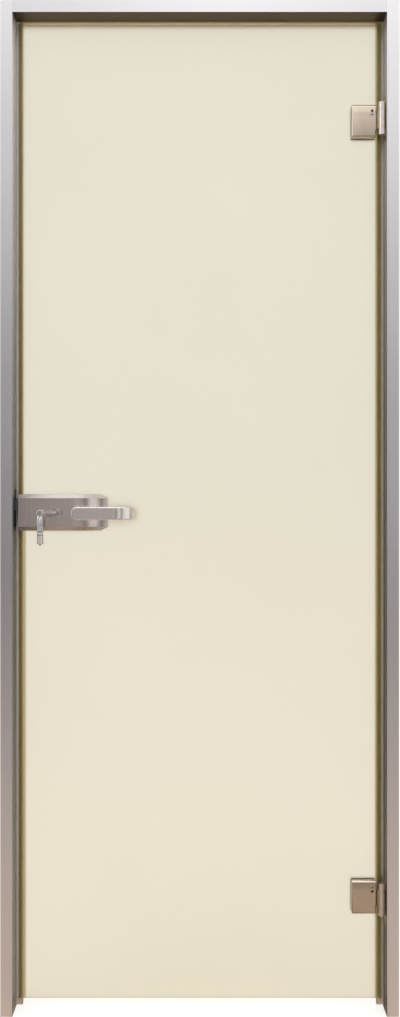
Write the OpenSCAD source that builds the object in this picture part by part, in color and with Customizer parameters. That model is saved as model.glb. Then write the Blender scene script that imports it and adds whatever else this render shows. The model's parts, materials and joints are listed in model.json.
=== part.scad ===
// Glass door in a slim aluminium frame: satin glass leaf, clamp hinges, lever lock with a profile cylinder.
// Millimetres. X runs across the opening, Y from the viewer's side to the back, Z up from the floor.
// The origin is on the floor, midway across the frame, in the middle of the glass thickness.

/* [Frame] */
// Width over both jambs
frame_w = 800; // [700:5:1100]
// Height from the floor to the top of the head rail
frame_h = 2040; // [1960:5:2400]
// Width of the frame's front face
face_w = 24; // [22:1:40]
// Wall of the hollow frame section
frame_wall = 3; // [2.5:0.5:4]
// Depth of the glass behind the frame's front face
recess = 45; // [40:1:60]
// Reach of the jamb stop behind the glass
stop_w = 12; // [10:1:16]
// Reach of the head stop behind the glass
head_stop_w = 4; // [2:1:12]
// Depth of the stop behind its seal
stop_depth = 10; // [9:1:30]
// Diameter of the holes for the wall anchors
anchor_d = 8.5; // [6:0.5:9]
// Height of the lower wall anchors above the floor
anchor_low_z = 300; // [200:10:500]
// Distance of the upper wall anchors below the top
anchor_top_gap = 300; // [200:10:500]

/* [Glass] */
// Thickness of the glass
glass_t = 8; // [6:1:12]
// Gap between the glass and the latch jamb
latch_gap = 5; // [4:0.5:7]
// Gap between the glass and the hinge jamb
hinge_gap = 3.5; // [3:0.5:5]
// Gap between the glass and the head rail
head_gap = 3; // [2:0.5:6]
// Gap between the glass and the floor
floor_gap = 18; // [8:1:30]
// Space for the seal between the glass and the stop
seal_gap = 3; // [2.5:0.5:5]

/* [Hinges] */
// Height of the lower hinge above the floor
hinge_low_z = 228; // [150:1:400]
// Distance of the upper hinge below the top
hinge_top_gap = 230; // [150:1:400]
// Diameter of the hinge barrel
barrel_d = 13; // [11:0.5:16]
// Length of the hinge barrel
barrel_h = 66; // [50:1:80]
// Diameter of the hinge pin
pin_d = 6; // [5:0.5:7]
// Distance of the hinge axis from the reveal
axis_inset = 7; // [6.8:0.1:8.5]
// Distance of the hinge axis in front of the glass
axis_proud = 23; // [13:1:28]
// Width of the hinge cover
cover_w = 50; // [46:1:60]
// Height of the hinge cover
cover_h = 67; // [60:1:80]
// Crown of the hinge cover above its gasket
cover_t = 12; // [11:0.5:15]
// Radius of the hinge cover's dome
dome_r = 260; // [100:5:300]

/* [Lock] */
// Height of the lock's centre above the floor
lock_z = 1012; // [950:1:1100]
// Distance of the lock case from the latch reveal
case_inset = 8; // [7:0.5:12]
// Length of the lock case
case_l = 180; // [170:1:200]
// Height of the lock case
case_h = 74; // [70:1:84]
// Depth of each half of the lock case
case_t = 19; // [18:0.5:24]
// Length of the case's flat front before it curves away
flat_l = 110; // [100:1:120]
// Height of the case's bevels
bevel_w = 8; // [4:0.5:10]
// Depth of the case's bevels
bevel_t = 7.5; // [6:0.5:12]
// Wall of the lock case
case_wall = 2; // [1.5:0.1:2.5]

/* [Handle] */
// Length of the lever
lever_l = 126; // [110:1:150]
// Height of the lever bar
lever_h = 26; // [20:1:30]
// Thickness of the lever bar
lever_t = 8; // [6:0.5:10]
// Reach of the lever in front of the lock case
lever_proud = 38; // [34:1:50]
// Outer radius of the lever's returned end
bend_r = 46; // [40:1:60]
// Turn of the lever's returned end
bend_angle = 70; // [50:1:80]
// Diameter of the lever neck
neck_d = 18; // [15:0.5:20]
// Side of the square spindle
spindle_side = 8; // [7:0.5:9]

/* [Bolts] */
// Height of the latch bolt
latch_h = 25; // [20:1:26]
// Thickness of the latch bolt
latch_t = 12; // [8:0.5:12]
// Reach of the latch bolt out of the case
latch_out = 14; // [13:0.5:16]
// Height of the dead bolt
bolt_h = 22; // [16:1:24]
// Thickness of the dead bolt
bolt_t = 10; // [8:0.5:12]

/* [Key] */
// Diameter of the cylinder's round part
cylinder_d = 17; // [16:0.5:18]
// Depth of the cylinder profile
cylinder_depth = 33; // [30:0.5:34]
// Diameter of the plug
plug_d = 12.5; // [12:0.1:13]
// Width of the key bow
bow_w = 32; // [22:1:36]
// Length of the key bow
bow_l = 24; // [20:1:26]
// Thickness of the key bow
bow_t = 4.6; // [3:0.1:5]
// Radius of the key ring
ring_r = 8; // [7.6:0.1:9.4]
// Length of a spare key's blade
spare_blade_l = 30; // [20:1:31]

/* [Hidden] */
$fn = 72;
// Overrun of every cut past the face it cuts
over = 1;
// Radial clearance of a part that turns in another
run_gap = 0.05;
// Radial clearance of a part that is fixed in another
fixed_gap = 0.02;
// Clearance of a part that slides or passes another
slide_gap = 0.4;
// Clearance of a piece that lies against another
seat_gap = 0.3;

// Frame planes
reveal_x = frame_w / 2 - face_w;
head_z = frame_h - face_w;
glass_front = -glass_t / 2;
glass_back = glass_t / 2;
front_y = glass_front - recess;
stop_y = glass_back + seal_gap;
back_y = stop_y + stop_depth;
glass_x0 = -reveal_x + latch_gap;
glass_x1 = reveal_x - hinge_gap;
glass_z1 = head_z - head_gap;
anchor_y = stop_y + stop_depth / 2;
anchor_zs = [anchor_low_z, frame_h - anchor_top_gap];

// Corner joints of the frame
block_l = 30;
corner_screw_d = 5;
corner_head_d = 9;
corner_head_t = 3;
corner_screw_l = 22;
corner_screw_ys = [front_y + recess / 4, glass_front - recess / 4];
corner_screw_z = head_z + face_w / 2;

// Seals
seal_base_t = 1.2;
seal_edge = 0.5;
bulb_r = (seal_gap - seat_gap) / 2;
bulb_in = 2.6;

// Hinges
hinge_zs = [hinge_low_z, frame_h - hinge_top_gap];
axis_x = reveal_x - axis_inset;
axis_y = glass_front - axis_proud;
knuckle_share = 0.22;
knuckle_h = barrel_h * knuckle_share;
knuckle_gap = 0.4;
middle_h = barrel_h - 2 * knuckle_h - 2 * knuckle_gap;
bush_wall = 1.5;
plate_t = 2;
plate_w = 24;
plate_end = 14;
plate_h = barrel_h + 2 * plate_end;
plate_screw_d = 4;
plate_head_d = 8;
plate_screw_l = 12;
web_t = 5;
gasket_t = 1;
clamp_front = glass_front - gasket_t;
clamp_back = glass_back + gasket_t;
clamp_t = 5;
cover_gap = 2.5;
cover_x1 = axis_x - barrel_d / 2 - cover_gap;
cover_x = cover_x1 - cover_w / 2;
cover_r = 2.5;
cover_wall = 1.6;
clamp_rim = 3;
clamp_screw_d = 6;
clamp_head_d = 11;
clamp_head_t = 2.5;
clamp_hole_d = 14;
clamp_screw_z = cover_h / 4;
link_h = middle_h - 2 * knuckle_gap;
link_t = 3;
link_rise = 1.5;
grub_d = 4;
grub_place_shares = [0.33, 0.24];
slot_w = 5;
slot_h = 13;
grub_depth_share = 0.72;

// Lock case
case_x0 = -reveal_x + case_inset;
back_case_x0 = -reveal_x + stop_w + seal_gap + over;
case_base = glass_front - gasket_t;
case_front = case_base - case_t;
case_end_t = 1;
curve_l = case_l - flat_l;
curve_drop = case_t - case_end_t;
curve_r = (curve_l * curve_l + curve_drop * curve_drop) / (2 * curve_drop);
curve_angle = asin(curve_l / curve_r);
curve_x = case_x0 + flat_l;
case_x1 = case_x0 + case_l;
cylinder_place_share = 0.3625;
spindle_place_share = 0.7;
cylinder_x = case_x0 + case_l * cylinder_place_share;
spindle_x = case_x0 + case_l * spindle_place_share;
faceplate_t = 3;
cutout_before = 26;
cutout_after = 9;
cutout_h = 44;
cutout_r = 8;
post_d = 8;
lock_screw_d = 4;
lock_head_d = 7;
lock_head_t = 3;
post_shares = [0.42, 0.52];
post_low = 17;
post_high = 9;
post_side = 7;
near_post_x = spindle_x - (spindle_x - cylinder_x) * post_shares[0];
far_post_x = spindle_x + (case_x1 - spindle_x) * post_shares[1];
post_places = [
    [near_post_x, lock_z - post_low],
    [near_post_x, lock_z + post_high],
    [far_post_x, lock_z - post_side],
    [far_post_x, lock_z + post_side]
];
cutout_x0 = cylinder_x - cutout_before;
cutout_x1 = far_post_x + cutout_after;

// Handle
bush_collar = 3;
bush_d = neck_d + 2 * bush_collar;
bush_proud = 1.5;
bush_l = 7;
bar_front = case_front - lever_proud;
lever_root_share = 0.56;
bar_x0 = spindle_x - lever_h * lever_root_share;
lever_drop = 2;
bar_z = lock_z - lever_drop;
bar_x1 = bar_x0 + lever_l - bend_r * sin(bend_angle);
lever_edge_r = 2.5;
lever_corner_r = 10;
neck_end = case_front + bush_l;
socket_l = 22;
hub_d = 22;
hub_t = 8;
hub_y = neck_end + seat_gap;
arm_w = 6;
arm_h = 16;
grub_l = 5;

// Bolts
bolts_depth_share = 0.37;
bolts_y = case_base - case_t * bolts_depth_share;
latch_above = 3;
latch_z = lock_z + latch_above + latch_h / 2;
latch_body_l = 45;
tail_h = 6;
tail_t = 5;
tail_above = 18;
tail_z = lock_z + tail_above;
lug_gap = 6;
lug_x = spindle_x + arm_w / 2 + lug_gap;
lug_t = 5;
lug_drop = 5;
bolt_below = 7;
deadbolt_z = lock_z - bolt_below - bolt_h / 2;
deadbolt_l = 43;
mouth_gap = 3;
strike_t = 2;
strike_w = 32;
strike_h = 150;
strike_drop = 8;
strike_z = lock_z - strike_drop;
strike_fore = 5;
strike_y = bolts_y - strike_fore;
strike_screw_end = 14;
strike_screw_z = strike_h / 2 - strike_screw_end;
strike_screw_d = 4;
strike_head_d = 8;
strike_screw_l = 10;
insert_low = 5;
insert_high = 18;
insert_side = 0.5;
insert_edge = 1.5;
insert_z0 = deadbolt_z - bolt_h / 2 - mouth_gap / 2 - insert_low;
insert_z1 = min(latch_z + latch_h / 2 + mouth_gap / 2 + insert_high,
                strike_z + strike_screw_z - strike_head_d / 2 - insert_edge);
insert_half = latch_t / 2 + mouth_gap + insert_side;
box_wall = 1.2;
box_l = 14;

// Cylinder and keys
cylinder_out = 2;
cylinder_end = case_t + gasket_t + glass_t / 2 + cylinder_out;
web_w = 10;
cam_w = 10;
cam_r = 15;
cam_hub_d = 16;
cam_nose_w = 8;
blade_w = 8;
blade_t = 2;
blade_in = 20;
shoulder_w = 11;
shoulder_l = 5;
bow_r = 8;
eye_r = 3;
wire_r = 0.8;
key_eye_in = 5;
bow_y0 = -cylinder_end - shoulder_l - bow_l;
eye_x = cylinder_x - bow_w / 2 + key_eye_in;
eye_y = bow_y0 + bow_l / 2;
ring_tilt = 28;
ring_x = eye_x - ring_r * cos(ring_tilt);
ring_z = lock_z - ring_r * sin(ring_tilt);
spare_t = 3.2;
spare_pitch = spare_t + seat_gap;
spare_fan = 1.5;
spare_blade_t = 2.6;
spare_bow_w = 20;
spare_bow_h = 20;
spare_collar_h = 8;
spare_collar_w = 10;
notch_r = 1.6;
notch_count = 3;

// Box from one corner to the opposite one
module box_between(low, high) {
    translate(low) cube(high - low);
}

// Round bar along X
module bar_x(d, x0, x1, y, z) {
    translate([x0, y, z]) rotate([0, 90, 0]) cylinder(d = d, h = x1 - x0);
}

// Round bar along Y
module bar_y(d, y0, y1, x, z) {
    translate([x, y0, z]) rotate([-90, 0, 0]) cylinder(d = d, h = y1 - y0);
}

// Outline drawn in X and Z, given a thickness along Y
module sheet_y(y0, y1) {
    translate([0, y1, 0]) rotate([90, 0, 0]) linear_extrude(y1 - y0) children();
}

// Outline drawn in Y and Z, carried along X
module run_x(x0, x1) {
    translate([x0, 0, 0]) rotate([90, 0, 90]) linear_extrude(x1 - x0) children();
}

// Rectangle with round corners about its own centre
module rounded_rect(w, h, r) {
    square([w - 2 * r, h], center = true);
    square([w, h - 2 * r], center = true);
    for (sx = [-1, 1], sz = [-1, 1]) {
        translate([sx * (w / 2 - r), sz * (h / 2 - r)]) circle(r = r);
    }
}

// Countersunk screw along X, its head flush at x = 0 and its shank towards +X
module screw_x(d, head_d, l) {
    rotate([0, 90, 0]) {
        cylinder(d1 = head_d, d2 = d, h = (head_d - d) / 2);
        cylinder(d = d, h = l);
    }
}

// Hole for that screw, open at the head's side
module screw_hole_x(d, head_d, l) {
    translate([-over, 0, 0]) rotate([0, 90, 0]) cylinder(d = head_d + 2 * fixed_gap, h = over);
    rotate([0, 90, 0]) {
        cylinder(d1 = head_d + 2 * fixed_gap, d2 = d + 2 * fixed_gap, h = (head_d - d) / 2);
        cylinder(d = d + 2 * fixed_gap, h = l + over);
    }
}

// Frame

// Plan of the hinge jamb: a hollow section with the stop at its back
module jamb_plan() {
    w = frame_wall;
    difference() {
        polygon([
            [reveal_x, front_y], [frame_w / 2, front_y], [frame_w / 2, back_y],
            [reveal_x - stop_w, back_y], [reveal_x - stop_w, stop_y], [reveal_x, stop_y]
        ]);
        polygon([
            [reveal_x + w, front_y + w], [frame_w / 2 - w, front_y + w], [frame_w / 2 - w, back_y - w],
            [reveal_x - stop_w + w, back_y - w], [reveal_x - stop_w + w, stop_y + w],
            [reveal_x + w, stop_y + w]
        ]);
    }
}

// Plain jamb with its wall anchor holes and the holes for the corner screws
module jamb() {
    difference() {
        linear_extrude(frame_h) jamb_plan();
        for (z = anchor_zs) {
            bar_x(anchor_d, reveal_x - stop_w - over, frame_w / 2 + over, anchor_y, z);
        }
        for (y = corner_screw_ys) {
            bar_x(corner_screw_d + 2 * fixed_gap, reveal_x - over, frame_w / 2 - over, y, corner_screw_z);
            bar_x(corner_head_d + 2 * slide_gap, reveal_x + face_w / 2, frame_w / 2 + over,
                  y, corner_screw_z);
        }
    }
}

// Pocket and screw holes for one frame hinge
module hinge_pocket(z) {
    translate([0, axis_y, z]) {
        box_between([reveal_x - over, -plate_w / 2, -plate_h / 2],
                    [reveal_x + plate_t, plate_w / 2, plate_h / 2]);
        for (s = [-1, 1]) {
            bar_x(plate_screw_d + 2 * fixed_gap, reveal_x, reveal_x + frame_wall + over,
                  0, s * (barrel_h + plate_end) / 2);
        }
    }
}

module hinge_jamb() {
    color("silver") difference() {
        jamb();
        for (z = hinge_zs) {
            hinge_pocket(z);
        }
    }
}

// Openings for the two bolts, through the front of the strike's dust box
module strike_mouths(x0, x1) {
    for (b = [[latch_z, latch_h, latch_t], [deadbolt_z, bolt_h, bolt_t]]) {
        box_between([x0, bolts_y - b[2] / 2 - mouth_gap, b[0] - b[1] / 2 - mouth_gap / 2],
                    [x1, bolts_y + b[2] / 2 + mouth_gap, b[0] + b[1] / 2 + mouth_gap / 2]);
    }
}

// Block that fills the window of the strike plate and of the jamb wall
module strike_insert(x0, x1, gap) {
    box_between([x0, bolts_y - insert_half + gap, insert_z0 + gap],
                [x1, bolts_y + insert_half - gap, insert_z1 - gap]);
}

module latch_jamb() {
    color("silver") difference() {
        mirror([1, 0, 0]) jamb();
        box_between([-reveal_x - strike_t, strike_y - strike_w / 2, strike_z - strike_h / 2],
                    [-reveal_x + over, strike_y + strike_w / 2, strike_z + strike_h / 2]);
        strike_insert(-reveal_x - frame_wall - over, -reveal_x + over, 0);
        for (s = [-1, 1]) {
            bar_x(strike_screw_d + 2 * fixed_gap, -reveal_x - frame_wall - over, -reveal_x,
                  strike_y, strike_z + s * strike_screw_z);
        }
    }
}

// The head rail is the same section laid across, cut back round the jamb stops
module head_rail() {
    w = frame_wall;
    color("silver") difference() {
        run_x(-reveal_x, reveal_x) difference() {
            polygon([
                [front_y, head_z], [front_y, frame_h], [back_y, frame_h],
                [back_y, head_z - head_stop_w], [stop_y, head_z - head_stop_w], [stop_y, head_z]
            ]);
            polygon([
                [front_y + w, head_z + w], [front_y + w, frame_h - w], [back_y - w, frame_h - w],
                [back_y - w, head_z - head_stop_w + w], [stop_y + w, head_z - head_stop_w + w],
                [stop_y + w, head_z + w]
            ]);
        }
        for (s = [-1, 1]) {
            translate([s * (reveal_x - stop_w / 2), stop_y + stop_depth / 2, head_z])
                cube([stop_w + fixed_gap, stop_depth + fixed_gap, 2 * face_w + over], center = true);
        }
    }
}

// Blocks in the ends of the head rail that take the corner screws
module corner_blocks() {
    w = frame_wall;
    color("dimgray") for (s = [-1, 1]) {
        difference() {
            translate([s * (reveal_x - block_l / 2), 0, 0])
                box_between([-block_l / 2, front_y + w, head_z + w], [block_l / 2, stop_y - w, frame_h - w]);
            for (y = corner_screw_ys) {
                mirror([s < 0 ? 1 : 0, 0, 0])
                    bar_x(corner_screw_d, reveal_x - corner_screw_l, reveal_x + over, y, corner_screw_z);
            }
        }
    }
}

module corner_screws() {
    color("gray") for (s = [0, 1], y = corner_screw_ys) {
        mirror([s, 0, 0]) {
            bar_x(corner_screw_d, reveal_x - corner_screw_l, reveal_x + frame_wall, y, corner_screw_z);
            bar_x(corner_head_d, reveal_x + frame_wall, reveal_x + frame_wall + corner_head_t,
                  y, corner_screw_z);
        }
    }
}

// Seal section on a stop of width w: a flat foot with a round bulb that meets the glass
module seal_section(w) {
    foot = w - 2 * seal_edge;
    bulb_y = glass_back + seat_gap + bulb_r;
    translate([seal_edge, stop_y - seal_base_t]) square([foot, seal_base_t]);
    translate([bulb_in, bulb_y]) circle(r = bulb_r);
    translate([bulb_in - bulb_r, bulb_y]) square([2 * bulb_r, stop_y - bulb_y]);
}

module jamb_seal() {
    translate([reveal_x - stop_w, 0, floor_gap])
        linear_extrude(head_z - head_stop_w - floor_gap) seal_section(stop_w);
}

module hinge_seal() {
    color("whitesmoke") jamb_seal();
}

module latch_seal() {
    color("whitesmoke") mirror([1, 0, 0]) jamb_seal();
}

// A plain strip on the narrower head stop
module head_seal() {
    color("whitesmoke")
        box_between([-reveal_x + stop_w, glass_back + seat_gap, head_z - head_stop_w + seal_edge],
                    [reveal_x - stop_w, stop_y, head_z - seal_edge]);
}

module strike_plate() {
    color("lightgray") difference() {
        box_between([-reveal_x - strike_t, strike_y - strike_w / 2, strike_z - strike_h / 2],
                    [-reveal_x, strike_y + strike_w / 2, strike_z + strike_h / 2]);
        strike_insert(-reveal_x - strike_t - over, -reveal_x + over, 0);
        for (s = [-1, 1]) {
            translate([-reveal_x, strike_y, strike_z + s * strike_screw_z])
                mirror([1, 0, 0]) screw_hole_x(strike_screw_d, strike_head_d, strike_screw_l);
        }
    }
}

// Dust box inside the jamb, its front flush in the strike plate's window, with a mouth for each bolt
module strike_box() {
    x1 = -reveal_x - frame_wall;
    y0 = bolts_y - latch_t / 2 - mouth_gap;
    y1 = bolts_y + latch_t / 2 + mouth_gap;
    z0 = deadbolt_z - bolt_h / 2 - mouth_gap;
    z1 = latch_z + latch_h / 2 + mouth_gap;
    color("dimgray") difference() {
        union() {
            box_between([x1 - box_l, y0 - box_wall, z0 - box_wall], [x1, y1 + box_wall, z1 + box_wall]);
            strike_insert(x1 - box_wall, -reveal_x, fixed_gap);
        }
        box_between([x1 - box_l + box_wall, y0, z0], [x1 - box_wall, y1, z1]);
        strike_mouths(x1 - box_wall - over, -reveal_x + over);
    }
}

module strike_screws() {
    color("gray") for (s = [-1, 1]) {
        translate([-reveal_x, strike_y, strike_z + s * strike_screw_z])
            mirror([1, 0, 0]) screw_x(strike_screw_d, strike_head_d, strike_screw_l);
    }
}

// Hinges

// Frame half of a hinge: plate in the jamb's pocket with the two outer knuckles
module frame_hinge(z) {
    translate([0, 0, z]) difference() {
        union() {
            translate([0, axis_y, 0])
                box_between([reveal_x, -plate_w / 2, -plate_h / 2],
                            [reveal_x + plate_t, plate_w / 2, plate_h / 2]);
            for (s = [0, 1]) {
                mirror([0, 0, s]) translate([axis_x, axis_y, barrel_h / 2 - knuckle_h]) {
                    cylinder(d = barrel_d, h = knuckle_h);
                    box_between([0, barrel_d / 2 - web_t, 0], [axis_inset, barrel_d / 2, knuckle_h]);
                }
            }
        }
        translate([axis_x, axis_y, -barrel_h / 2 - over])
            cylinder(d = pin_d + 2 * fixed_gap, h = barrel_h + 2 * over);
        for (s = [-1, 1]) {
            translate([reveal_x, axis_y, s * (barrel_h + plate_end) / 2])
                screw_hole_x(plate_screw_d, plate_head_d, plate_screw_l);
        }
    }
}

module lower_frame_hinge() {
    color("lightgray") frame_hinge(hinge_zs[0]);
}

module upper_frame_hinge() {
    color("lightgray") frame_hinge(hinge_zs[1]);
}

module hinge_pins() {
    color("gray") for (z = hinge_zs) {
        translate([axis_x, axis_y, z - barrel_h / 2]) cylinder(d = pin_d, h = barrel_h);
    }
}

module hinge_plate_screws() {
    color("gray") for (z = hinge_zs, s = [-1, 1]) {
        translate([reveal_x, axis_y, z + s * (barrel_h + plate_end) / 2])
            screw_x(plate_screw_d, plate_head_d, plate_screw_l);
    }
}

// Holes of the clamp screws through one hinge's plates or glass
module clamp_holes(d, z) {
    for (s = [-1, 1]) {
        bar_y(d, -axis_proud - cover_t, axis_proud + cover_t, cover_x, z + s * clamp_screw_z);
    }
}

// Large ball whose front is the crown of a hinge cover
module dome_ball(z, inset) {
    translate([cover_x, clamp_front - cover_t + dome_r, z]) sphere(r = dome_r - inset, $fn = 128);
}

// Leaf half of a hinge: clamp plate on the glass, kept under the dome, link, and the middle knuckle
module hinge_leaf(z) {
    difference() {
        union() {
            intersection() {
                sheet_y(clamp_front - clamp_t, clamp_front)
                    translate([cover_x, z])
                        rounded_rect(cover_w - 2 * clamp_rim, cover_h - 2 * clamp_rim, cover_r);
                dome_ball(z, cover_wall + seat_gap);
            }
            translate([axis_x, axis_y, z - middle_h / 2]) cylinder(d = barrel_d, h = middle_h);
            translate([0, 0, z - link_h / 2]) linear_extrude(link_h) polygon([
                [axis_x - barrel_d / 2, axis_y], [axis_x, axis_y], [axis_x, axis_y + barrel_d / 2],
                [cover_x1, clamp_front], [cover_x1 - clamp_rim - link_t, clamp_front],
                [cover_x1 - clamp_rim - link_t, clamp_front - clamp_t],
                [cover_x1, clamp_front - clamp_t - link_rise]
            ]);
        }
        translate([axis_x, axis_y, z - middle_h / 2 - over])
            cylinder(d = pin_d + 2 * (run_gap + bush_wall + fixed_gap), h = middle_h + 2 * over);
        clamp_holes(clamp_screw_d + 2 * fixed_gap, z);
    }
}

module lower_hinge_leaf() {
    color("lightgray") hinge_leaf(hinge_zs[0]);
}

module upper_hinge_leaf() {
    color("lightgray") hinge_leaf(hinge_zs[1]);
}

module hinge_bushes() {
    color("goldenrod") for (z = hinge_zs) {
        translate([axis_x, axis_y, z - middle_h / 2]) difference() {
            cylinder(d = pin_d + 2 * (run_gap + bush_wall), h = middle_h);
            translate([0, 0, -over]) cylinder(d = pin_d + 2 * run_gap, h = middle_h + 2 * over);
        }
    }
}

// Domed block: a slice of a large ball inside a rounded outline, its crown towards the viewer
module domed_block(z, inset, base_y) {
    intersection() {
        sheet_y(clamp_front - cover_t, base_y)
            translate([cover_x, z])
                rounded_rect(cover_w - 2 * inset, cover_h - 2 * inset, max(cover_r - inset, cover_r / 2));
        dome_ball(z, inset);
    }
}

// Place of the small screw in the face of a cover
function grub_x() = cover_x + cover_w * grub_place_shares[0];
function grub_z(z) = z + cover_h * grub_place_shares[1];

// Upright slot in the face of a cover, over the small screw
module cover_slot() {
    y0 = clamp_front - cover_t - over;
    y1 = clamp_front - clamp_t;
    half = (slot_h - slot_w) / 2;
    box_between([-slot_w / 2, y0, -half], [slot_w / 2, y1, half]);
    for (s = [-1, 1]) {
        bar_y(slot_w, y0, y1, 0, s * half);
    }
}

// Domed shell over the clamp plate, notched for the link
module hinge_cover(z) {
    difference() {
        domed_block(z, 0, clamp_front);
        domed_block(z, cover_wall, clamp_front + over);
        translate([0, 0, z - link_h / 2 - slide_gap])
            box_between([cover_x1 - 2 * cover_wall, clamp_front - clamp_t - link_rise - slide_gap, 0],
                        [cover_x1 + over, clamp_front + over, link_h + 2 * slide_gap]);
        translate([grub_x(), 0, grub_z(z)]) cover_slot();
    }
}

module lower_hinge_cover() {
    color("silver") hinge_cover(hinge_zs[0]);
}

module upper_hinge_cover() {
    color("silver") hinge_cover(hinge_zs[1]);
}

module cover_screws() {
    color("dimgray") for (z = hinge_zs) {
        bar_y(grub_d, clamp_front - cover_t * grub_depth_share, clamp_front - clamp_t, grub_x(), grub_z(z));
    }
}

// Clamp plate on the back of the glass
module back_clamp(z) {
    difference() {
        sheet_y(clamp_back, clamp_back + clamp_t)
            translate([cover_x, z]) rounded_rect(cover_w, cover_h, cover_r);
        clamp_holes(clamp_screw_d + 2 * fixed_gap, z);
        for (s = [-1, 1]) {
            bar_y(clamp_head_d + 2 * fixed_gap, clamp_back + clamp_t - clamp_head_t,
                  clamp_back + clamp_t + over, cover_x, z + s * clamp_screw_z);
        }
    }
}

module lower_back_clamp() {
    color("silver") back_clamp(hinge_zs[0]);
}

module upper_back_clamp() {
    color("silver") back_clamp(hinge_zs[1]);
}

module clamp_gaskets() {
    color("dimgray") for (z = hinge_zs, y = [glass_front - gasket_t, glass_back]) {
        difference() {
            sheet_y(y, y + gasket_t)
                translate([cover_x, z])
                    rounded_rect(cover_w - 2 * clamp_rim, cover_h - 2 * clamp_rim, cover_r);
            clamp_holes(clamp_hole_d, z);
        }
    }
}

module clamp_screws() {
    color("gray") for (z = hinge_zs, s = [-1, 1]) {
        bar_y(clamp_screw_d, clamp_front - clamp_t, clamp_back + clamp_t, cover_x, z + s * clamp_screw_z);
        bar_y(clamp_head_d, clamp_back + clamp_t - clamp_head_t, clamp_back + clamp_t,
              cover_x, z + s * clamp_screw_z);
    }
}

// Glass

// Opening in the glass for the cylinder, the spindle and the case screws
module lock_cutout() {
    translate([(cutout_x0 + cutout_x1) / 2, lock_z]) rounded_rect(cutout_x1 - cutout_x0, cutout_h, cutout_r);
}

module glass_pane() {
    color("lightyellow") difference() {
        box_between([glass_x0, glass_front, floor_gap], [glass_x1, glass_back, glass_z1]);
        sheet_y(glass_front - over, glass_back + over) lock_cutout();
        for (z = hinge_zs) {
            clamp_holes(clamp_hole_d, z);
        }
    }
}

// Lock case

// Section of the case: d is the depth from the base, front the depth of the face, half its half height
module case_section(base, front, half) {
    polygon([
        [base, -half], [front - bevel_t, -half], [front, bevel_w - half],
        [front, half - bevel_w], [front - bevel_t, half], [base, half]
    ]);
}

// Solid form of one half of the case, drawn inwards by inset: straight, then turned about an upright axis
module case_form(x0, inset, base_y) {
    half = case_h / 2 - inset;
    r = curve_r - inset;
    curve_y = case_front + curve_r;
    depth = case_t + over;
    difference() {
        translate([0, 0, lock_z]) {
            run_x(x0, curve_x) scale([-1, 1]) case_section(-base_y - over, -case_front - inset, half);
            translate([curve_x, curve_y, 0])
                rotate([0, 0, -90])
                    rotate_extrude(angle = curve_angle, $fn = 180)
                        case_section(curve_r - depth, r, half);
        }
        box_between([x0 - over, base_y, lock_z - case_h], [case_x1 + case_t, curve_y, lock_z + case_h]);
    }
}

// Profile of the key cylinder, its web lying towards the hinges, grown by gap
module cylinder_profile(gap) {
    translate([cylinder_x, lock_z]) {
        circle(d = cylinder_d + 2 * gap);
        translate([0, -web_w / 2 - gap])
            square([cylinder_depth - cylinder_d / 2 - web_w / 2, web_w + 2 * gap]);
        translate([cylinder_depth - cylinder_d / 2 - web_w / 2, 0]) circle(d = web_w + 2 * gap);
    }
}

// One half of the case as a shell with screw posts, for the viewer's side
module case_half(x0, hollow_x0) {
    difference() {
        union() {
            difference() {
                case_form(x0, 0, case_base);
                case_form(hollow_x0, case_wall, case_base + over);
            }
            intersection() {
                case_form(x0, 0, case_base);
                for (p = post_places) {
                    bar_y(post_d, case_front, case_base, p[0], p[1]);
                }
            }
        }
        sheet_y(case_front - over, case_base + over) cylinder_profile(slide_gap);
        bar_y(bush_d + 2 * fixed_gap, case_front - over, case_base, spindle_x, lock_z);
    }
}

module front_lock_case() {
    color("darkgray") difference() {
        case_half(case_x0, case_x0 - over);
        for (p = post_places) {
            bar_y(lock_screw_d + 2 * fixed_gap, case_base - case_t / 2, case_base + over, p[0], p[1]);
        }
    }
}

module back_lock_case() {
    color("darkgray") mirror([0, 1, 0]) difference() {
        case_half(back_case_x0, back_case_x0 + case_wall);
        for (p = post_places) {
            bar_y(lock_screw_d + 2 * fixed_gap, case_front, case_base + over, p[0], p[1]);
            bar_y(lock_head_d + 2 * slide_gap, case_front - over, case_base - case_t / 3, p[0], p[1]);
        }
    }
}

// End plate in the mouth of the front case, with the ways for both bolts
module lock_faceplate() {
    inset = case_wall + fixed_gap;
    color("lightgray") difference() {
        run_x(case_x0, case_x0 + faceplate_t) translate([0, lock_z]) scale([-1, 1])
            case_section(-case_base, -case_front - inset, case_h / 2 - inset);
        box_between([case_x0 - over, bolts_y - latch_t / 2 - slide_gap, latch_z - latch_h / 2 - slide_gap],
                    [curve_x, bolts_y + latch_t / 2 + slide_gap, latch_z + latch_h / 2 + slide_gap]);
        box_between([case_x0 - over, bolts_y - bolt_t / 2 - slide_gap, deadbolt_z - bolt_h / 2 - slide_gap],
                    [curve_x, bolts_y + bolt_t / 2 + slide_gap, deadbolt_z + bolt_h / 2 + slide_gap]);
    }
}

module lock_gaskets() {
    rim = case_wall + over;
    z0 = lock_z - case_h / 2 + rim;
    z1 = lock_z + case_h / 2 - rim;
    x1 = case_x1 - curve_l / 4;
    color("dimgray") for (g = [[case_x0 + rim, glass_front - gasket_t], [back_case_x0 + rim, glass_back]]) {
        difference() {
            box_between([g[0], g[1], z0], [x1, g[1] + gasket_t, z1]);
            sheet_y(g[1] - over, g[1] + gasket_t + over) lock_cutout();
        }
    }
}

module lock_screws() {
    head_y = -case_base + case_t / 3;
    color("gray") for (p = post_places) {
        bar_y(lock_screw_d, case_base - case_t / 2, head_y, p[0], p[1]);
        bar_y(lock_head_d, head_y, head_y + lock_head_t, p[0], p[1]);
    }
}

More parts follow.
